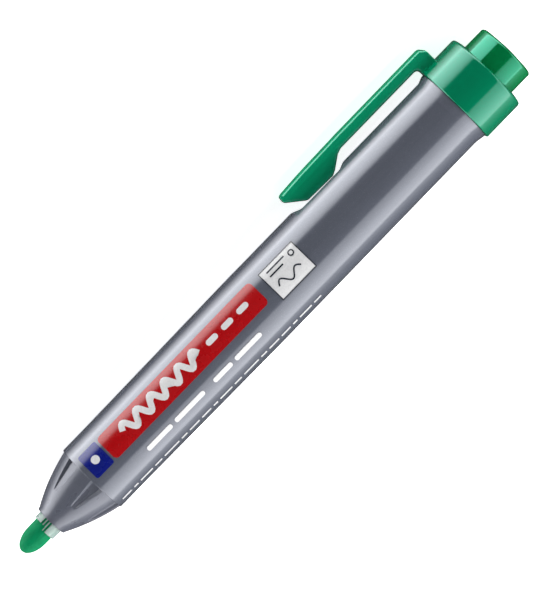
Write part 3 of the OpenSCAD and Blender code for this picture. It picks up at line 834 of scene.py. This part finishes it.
class MARKER_OT_nib(bpy.types.Operator):
    """Build the bullet nib of bonded fibre"""
    bl_idname = "marker.nib"
    bl_label = "Nib"

    def execute(self, context):
        s = sizes()
        shank_r = 1.5 * MM
        tip = [Vector((s.nib_point * (1 - math.cos(a)), NIB_R * math.sin(a)))
               for a in spread(0, math.pi / 2, 26)]
        rest = rounded([(s.nib_point + 0.05 * MM, NIB_R, 0), (NIB_BODY_END, NIB_R, 0.2 * MM),
                        (NIB_BODY_END + 1 * MM, shank_r, 0.2 * MM), (back_of("nib"), shank_r, 0),
                        (back_of("nib"), 0, 0)])
        finish = fibrous("nib_felt", colours().felt, 5200)
        mesh = lathe("bullet_nib", tip + rest, 96, closed=False)
        new_piece("bullet_nib", mesh, "writing_unit", finish, ["nib"])
        return {"FINISHED"}


def box_cutter(bm, low, high):
    """Adds a plain box to a cutting mesh."""
    made = bmesh.ops.create_cube(bm, size=1.0)["verts"]
    for v in made:
        v.co = Vector(lo + (c + 0.5) * (hi - lo) for c, lo, hi in zip(v.co, low, high))


class MARKER_OT_holder(bpy.types.Operator):
    """Build the nib holder with its fingers and slotted sides"""
    bl_idname = "marker.holder"
    bl_label = "Nib holder"

    def execute(self, context):
        s = sizes()
        bore_r = NIB_R + 0.03 * MM
        outer_r = bore_r + s.holder_wall
        flange = front_of("piston_seal") - 1.7 * MM
        flange_r = radius_of("nib_holder")
        groove_r = radius_of("piston_seal") - 1.0 * MM
        tube_front = front_of("cartridge_tube")
        plug_r = radius_of("cartridge_plug")
        plug_end = back_of("nib_holder")
        shank_r = 1.53 * MM
        outline = rounded([
            (HOLDER_FRONT + 1 * MM, bore_r, 0), (HOLDER_FRONT, bore_r, 0.06 * MM),
            (HOLDER_FRONT, outer_r, 0.16 * MM), (flange, outer_r, 0.15 * MM),
            (flange, flange_r, 0.1 * MM), (flange + 1.5 * MM, flange_r, 0.1 * MM),
            (flange + 1.5 * MM, groove_r, 0), (tube_front, groove_r, 0), (tube_front, plug_r, 0),
            (plug_end, plug_r, 0.2 * MM), (plug_end, shank_r, 0), (NIB_BODY_END + 1 * MM, shank_r, 0),
            (NIB_BODY_END, bore_r, 0)])
        finish = moulded("holder_milky", colours().holder, 0.22, flow=0.02, worn=0.0,
                         Transmission_Weight=0.55, Subsurface_Weight=0.2,
                         Subsurface_Radius=(0.9, 1.0, 0.95), Subsurface_Scale=0.5 * MM,
                         Coat_Weight=0.3, Coat_Roughness=0.12)
        piece = new_piece("holder_moulding", lathe("holder_moulding", outline, 96), "writing_unit",
                          finish, ["nib_holder"])
        bm = bmesh.new()
        front = HOLDER_FRONT - 1 * MM
        wide = 5 * MM
        box_cutter(bm, (0, -wide, front), (wide, wide, HOLDER_FRONT + s.finger_step))
        for k in (-1, 0, 1):
            middle = (0.7 * k + 0.3) * MM
            for side in (-1, 1):
                near, away = sorted((side * 1.5 * MM, side * wide))
                box_cutter(bm, (middle - 0.21 * MM, near, front),
                           (middle + 0.21 * MM, away, HOLDER_FRONT + 2.6 * MM))
        mesh = mesh_from("slot_cutter", bm)
        mesh.transform(LAY)
        cutter = put("slot_cutter", mesh)
        cut = piece.modifiers.new("slots", "BOOLEAN")
        cut.operation = "DIFFERENCE"
        cut.solver = "EXACT"
        cut.use_self = True
        cut.object = cutter
        apply_modifiers(piece)
        bpy.data.objects.remove(cutter)
        piece.data.shade_smooth()
        piece.data.set_sharp_from_angle(angle=math.radians(30))
        return {"FINISHED"}


# --- Print ---

def skin_radius(z):
    """Radius of the barrel's even surface at a station."""
    s = sizes()
    front_r = SEAT_R - s.front_taper
    start = SEAM + s.front_even
    t = min(1, max(0, (z - start) / (SEAT_START - start)))
    return front_r + (SEAT_R - front_r) * t


def printed_shape(bm, outline, lift):
    """Adds a flat outline of (z, y) points, wrapped on the barrel as a thin closed film.

    y is measured round the barrel from the print's middle line towards the clip.
    """
    film = sizes().ink_film

    def wrapped(p, height):
        r = skin_radius(p.x)
        angle = math.pi / 2 - p.y / r
        r += height
        return Vector((r * math.cos(angle), r * math.sin(angle), p.x))

    flat = bmesh.new()
    face = flat.faces.new([flat.verts.new((p.x, p.y, 0)) for p in outline])
    bmesh.ops.triangulate(flat, faces=[face])
    for axis, longest in ((0, 4 * MM), (1, 0.5 * MM)):
        low = min(p[axis] for p in outline)
        high = max(p[axis] for p in outline)
        normal = Vector((1 - axis, axis, 0))
        for at in spread(low, high, max(1, math.ceil((high - low) / longest)))[1:-1]:
            bmesh.ops.bisect_plane(flat, geom=flat.verts[:] + flat.edges[:] + flat.faces[:],
                                   plane_co=normal * at, plane_no=normal)
    top = {v: bm.verts.new(wrapped(v.co, lift + film)) for v in flat.verts}
    low = {v: bm.verts.new(wrapped(v.co, lift - film)) for v in flat.verts}
    for f in flat.faces:
        bm.faces.new([top[v] for v in f.verts])
        bm.faces.new([low[v] for v in reversed(f.verts)])
    for e in flat.edges:
        if e.is_boundary:
            a, b = e.verts
            bm.faces.new((top[a], low[a], low[b], top[b]))
    flat.free()


def bar(z0, z1, y0, y1, corner=0.0, steps=5):
    """Rectangle with rounded corners as a closed outline."""
    corner = min(corner, (z1 - z0) / 2 - 1e-6, (y1 - y0) / 2 - 1e-6)
    if corner <= 0:
        return [Vector(p) for p in ((z0, y0), (z1, y0), (z1, y1), (z0, y1))]
    points = []
    for cz, cy, start in ((z1 - corner, y0 + corner, -90), (z1 - corner, y1 - corner, 0),
                          (z0 + corner, y1 - corner, 90), (z0 + corner, y0 + corner, 180)):
        for k in range(steps + 1):
            a = math.radians(start + 90 * k / steps)
            points.append(Vector((cz + corner * math.cos(a), cy + corner * math.sin(a))))
    return points


def ribbon(line, width):
    """Outline of a stroke of even width along a line of points."""
    left, right = [], []
    for i, p in enumerate(line):
        way = line[min(i + 1, len(line) - 1)] - line[max(i - 1, 0)]
        side = Vector((-way.y, way.x)).normalized() * width / 2
        left.append(p + side)
        right.append(p - side)
    return left + right[::-1]


def disc(z, y, r, steps=20):
    return [Vector((z + r * math.cos(2 * math.pi * k / steps), y + r * math.sin(2 * math.pi * k / steps)))
            for k in range(steps)]


def print_layer(name, outlines, colour, lift):
    bm = bmesh.new()
    for outline in outlines:
        printed_shape(bm, outline, lift)
    return new_piece(name, mesh_from(name, bm), "casing", printed(name + "_ink", colour))


class MARKER_OT_print(bpy.types.Operator):
    """Print plain panels, bars and a simple board symbol on the barrel"""
    bl_idname = "marker.print"
    bl_label = "Print"

    def execute(self, context):
        c = colours()
        film = sizes().ink_film
        start = SEAM + 6.6 * MM
        end = start + 44.3 * MM
        top, low = 5.25 * MM, -0.9 * MM
        mark_start, mark_end = SEAM + 1.2 * MM, start - 0.5 * MM
        z0, z1 = end + 2.2 * MM, end + 11.9 * MM
        y0, y1 = -2.75 * MM, 4.8 * MM
        red = bar(start, end, low, top, 1.0 * MM)
        small = bar(mark_start, mark_end, low, top, 0.5 * MM)
        board = bar(z0, z1, y0, y1, 0.35 * MM)
        print_layer("print_red_panel", [red], c.print_red, film)
        print_layer("print_blue_panel", [small], c.print_blue, film)
        print_layer("print_board", [board], c.print_white, film)

        middle = (top + low) / 2
        wave = [Vector((start + (5 + 22 * t) * MM,
                        middle + 1.35 * MM * math.sin(2 * math.pi * 5.5 * t)))
                for t in spread(0, 1, 90)]
        white = [ribbon(wave, 1.3 * MM)]
        half = 0.65 * MM
        white += [bar(start + z * MM, start + (z + 3.0) * MM, middle - half, middle + half, half)
                  for z in (29.3, 33.7, 38.1)]
        white.append(disc((mark_start + mark_end) / 2, middle, 0.95 * MM))
        # plain bars where a caption would stand, and a row of short dashes below them
        for z, bar_l in ((12.4, 7.0), (20.4, 8.4), (31.6, 5.2), (37.8, 7.4)):
            white.append(bar(SEAM + z * MM, SEAM + (z + bar_l) * MM, -4.75 * MM, -3.65 * MM, 0.5 * MM))
        z = SEAM + 1.6 * MM
        for dash in (2.6, 1.2, 3.4, 2.0, 4.2, 1.6, 2.8) * 3:
            if z + dash * MM > end + 11 * MM:
                break
            white.append(bar(z, z + dash * MM, -9.2 * MM, -8.75 * MM, 0.1 * MM))
            z += (dash + 0.75) * MM
        print_layer("print_white_marks", white, c.print_white, 2.5 * film)

        edge, line = 0.22 * MM, 0.32 * MM
        dark = [bar(z0, z0 + edge, y0, y1), bar(z1 - edge, z1, y0, y1),
                bar(z0 + edge, z1 - edge, y0, y0 + edge), bar(z0 + edge, z1 - edge, y1 - edge, y1)]
        curve = [Vector((z0 + (1.5 + 6.2 * t) * MM, (-0.2 + 1.1 * math.sin(9.4 * t) * (1 - 0.4 * t)) * MM))
                 for t in spread(0, 1, 40)]
        dark.append(ribbon(curve, line))
        dark += [ribbon([Vector((z0 + 1.5 * MM, y * MM)), Vector((z0 + reach * MM, y * MM))], line)
                 for y, reach in ((3.6, 6.4), (2.5, 5.2))]
        dot_z, dot_y = z1 - 1.75 * MM, 3.0 * MM
        dark.append(disc(dot_z, dot_y, 0.72 * MM))
        print_layer("print_board_drawing", dark, c.print_dark, 2.5 * film)
        print_layer("print_board_dot", [disc(dot_z, dot_y, 0.42 * MM)], c.print_white, 4 * film)
        return {"FINISHED"}


# --- Inner pieces and stage ---

class MARKER_OT_inside(bpy.types.Operator):
    """Finish the pieces inside the casing, whose CAD shapes stay"""
    bl_idname = "marker.inside"
    bl_label = "Inner pieces"

    def execute(self, context):
        c = colours()
        guide = moulded("guide_acetal", c.guide, 0.36, flow=0.03, Subsurface_Weight=0.15,
                        Subsurface_Scale=0.5 * MM)
        milky = moulded("chamber_milky", c.chamber, 0.34, flow=0.03, Subsurface_Weight=0.25,
                        Subsurface_Scale=0.6 * MM)
        film = moulded("film_clear", c.film, 0.2, flow=0.02, worn=0.0, Coat_Weight=0.5)
        rubber = soft_rubber("seal_rubber_black", c.rubber)
        fibre = fibrous("reservoir_fibre_ink", shade(c.felt, 0.8), 2600)
        for finish, nodes in (
                (guide, ("cam_sleeve", "rotor", "plunger", "spring_seat")),
                (milky, ("seal_chamber", "cartridge_tube", "cartridge_plug")),
                (film, ("reservoir_film",)), (fibre, ("ink_reservoir",)),
                (rubber, ("slit_seal", "nose_seal_ring", "piston_seal"))):
            for node in nodes:
                mesh = frame["nodes"][node].data
                mesh.materials.clear()
                mesh.materials.append(finish)
        return {"FINISHED"}


class MARKER_OT_spring(bpy.types.Operator):
    """Wind the return spring, with closed turns at both ends"""
    bl_idname = "marker.spring"
    bl_label = "Return spring"

    def execute(self, context):
        s = sizes()
        wire_r = s.wire / 2
        coil_r = radius_of("return_spring") - wire_r
        start = front_of("return_spring") + wire_r
        end = back_of("return_spring") - wire_r
        close = s.wire + 0.1 * MM
        open_turns = s.spring_turns - 2
        pitch = (end - start - 2 * close) / open_turns
        per_turn, sides = 36, 12
        bm = bmesh.new()
        rings = []
        for i in range(s.spring_turns * per_turn + 1):
            t = i / per_turn
            a = 2 * math.pi * t
            z = (start + close * (min(t, 1) + max(0, t - 1 - open_turns))
                 + pitch * min(open_turns, max(0, t - 1)))
            ring = []
            for b in spread(0, 2 * math.pi, sides)[:-1]:
                r = coil_r + wire_r * math.cos(b)
                ring.append(bm.verts.new((r * math.cos(a), r * math.sin(a),
                                          z + wire_r * math.sin(b))))
            rings.append(ring)
        for a, b in zip(rings, rings[1:]):
            bridge(bm, a, b)
        bm.faces.new(rings[0])
        bm.faces.new(rings[-1])
        piece = new_piece("return_spring_wire", mesh_from("return_spring_wire", bm), None,
                          drawn_wire("spring_wire_steel", colours().steel),
                          ["return_spring"])
        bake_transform(piece)
        return {"FINISHED"}


def fill_panel(studio):
    """A wide soft light behind the camera, which lightens the pen and isn't mirrored by it."""
    data = bpy.data.lights.new("fill_panel", "AREA")
    data.shape = "RECTANGLE"
    data.size, data.size_y = 1.7, 0.9
    data.energy = studio.fill
    panel = put("fill_panel", data)
    behind = PRINT_WAY * 1.3 * studio.distance
    panel.matrix_world = placed(behind, BACK_WAY, PRINT_WAY.cross(BACK_WAY), PRINT_WAY)
    panel.visible_glossy = False
    panel.visible_camera = False


def studio_world(studio):
    """Soft panels along the pen on both sides of the camera, as a world that the pen mirrors.

    A direction is told by its angle round the pen, from the camera's side towards the clip.
    """
    world = bpy.data.worlds.new("studio")
    n = Nodes(world)
    direction = n.node("ShaderNodeTexCoord").outputs["Generated"]
    angle = n.node("ShaderNodeMath", operation="ARCTAN2")
    for i, way in enumerate((CLIP_WAY, PRINT_WAY)):
        dot = n.node("ShaderNodeVectorMath", operation="DOT_PRODUCT")
        dot.inputs[1].default_value = way
        n.link(direction, dot.inputs[0])
        n.link(dot.outputs["Value"], angle.inputs[i])
    ramp = n.node("ShaderNodeValToRGB")
    n.link(n.ranged(angle.outputs[0], -math.pi, math.pi, 0, 1), ramp.inputs["Fac"])

    brightest = max(studio.clip_band, studio.open_band)
    # degrees round the pen, and the light there as a share of its band's
    open_side = ((-112, 0.08), (-103, 0.2), (-96, 0.29), (-92, 1.0), (-88, 1.0), (-80, 0.91), (-72, 0.8),
                 (-64, 0.71), (-57, 0.6), (-50, 0.51), (-40, 0.43))
    clip_side = ((50, 0.35), (57, 0.55), (64, 0.66), (72, 0.74), (80, 0.82), (88, 0.9),
                 (91, 1.0), (95, 1.0), (100, 0.68), (106, 0.46), (113, 0.26))
    bands = [(-180, studio.rim), (-128, studio.rim)]
    bands += [(degrees, share * studio.open_band) for degrees, share in open_side]
    bands += [(-37, studio.dark), (45, studio.dark)]
    bands += [(degrees, share * studio.clip_band) for degrees, share in clip_side]
    bands += [(127, studio.rim), (180, studio.rim)]
    stops = ramp.color_ramp.elements
    while len(stops) < len(bands):
        stops.new(0.5)
    for stop, (degrees, light) in zip(stops, bands):
        stop.position = (degrees + 180) / 360
        stop.color = (light / brightest,) * 3 + (1,)

    seen = n.node("ShaderNodeLightPath").outputs["Is Camera Ray"]
    sky = n.tree.nodes["Background"]
    n.link(n.mixed(seen, ramp.outputs["Color"], (1 / brightest,) * 3), sky.inputs["Color"])
    sky.inputs["Strength"].default_value = brightest
    return world


class MARKER_OT_stage(bpy.types.Operator):
    """Set the pale floor, the soft lights and the camera"""
    bl_idname = "marker.stage"
    bl_label = "Stage"

    def execute(self, context):
        scene = context.scene
        studio = scene.marker_studio
        floor_z = CAD_BOX[0].z
        bm = bmesh.new()
        bmesh.ops.create_grid(bm, x_segments=8, y_segments=8, size=3.0)
        mesh = mesh_from("floor", bm)
        f = Finish("floor_paper")
        tone = tuple(colours().floor)
        f.feed("Base Color", f.mixed(f.ranged(f.noise(6, 2.0), 0.3, 0.7, 0, 1), tone, shade(tone, 1.02)))
        f.set(Roughness=0.75, Specular_IOR_Level=0.2, Emission_Color=(1, 1, 1, 1),
              Emission_Strength=studio.floor_glow)
        mesh.materials.append(f.material)
        floor = put("floor", mesh)
        floor.location = (0, 0, floor_z)
        # the pen mirrors the panels of the studio and not the floor
        floor.visible_glossy = False
        scene.world = studio_world(studio)
        fill_panel(studio)

        target = LAY @ Vector((0, 0, studio.aim))
        back = PRINT_WAY
        cos_t, sin_t = math.cos(studio.tilt), math.sin(studio.tilt)
        right = BACK_WAY * cos_t - CLIP_WAY * sin_t
        up = back.cross(right)
        data = bpy.data.cameras.new("camera")
        data.sensor_width = 36.0
        data.lens = data.sensor_width * studio.distance / studio.field
        camera = put("camera", data)
        camera.matrix_world = placed(target + back * studio.distance, right, up, back)
        scene.camera = camera
        scene.view_settings.view_transform = "Standard"
        return {"FINISHED"}


class MARKER_PT_build(bpy.types.Panel):
    """Buttons that build the marker piece by piece"""
    bl_idname = "MARKER_PT_build"
    bl_label = "Whiteboard Marker"
    bl_space_type = "VIEW_3D"
    bl_region_type = "UI"
    bl_category = "Marker"

    def draw(self, context):
        for operator in OPERATORS:
            self.layout.operator(operator.bl_idname)
        for group in (getattr(context.scene, name) for name in GROUPS):
            box = self.layout.box()
            for key in group.__annotations__:
                box.prop(group, key)


OPERATORS = (MARKER_OT_stage, MARKER_OT_barrel, MARKER_OT_nose, MARKER_OT_collar, MARKER_OT_clip,
             MARKER_OT_button, MARKER_OT_nib, MARKER_OT_holder, MARKER_OT_print, MARKER_OT_inside,
             MARKER_OT_spring)
GROUPS = {"marker_sizes": MarkerSizes, "marker_colours": MarkerColours, "marker_studio": MarkerStudio}
CLASSES = (*GROUPS.values(), *OPERATORS, MARKER_PT_build)


def register():
    for cls in CLASSES:
        bpy.utils.register_class(cls)
    for name, group in GROUPS.items():
        setattr(bpy.types.Scene, name, bpy.props.PointerProperty(type=group))


def unregister():
    for name in GROUPS:
        delattr(bpy.types.Scene, name)
    for cls in reversed(CLASSES):
        bpy.utils.unregister_class(cls)


def main():
    register()
    for operator in OPERATORS:
        group, name = operator.bl_idname.split(".")
        getattr(getattr(bpy.ops, group), name)()


if __name__ == "__main__":
    main()
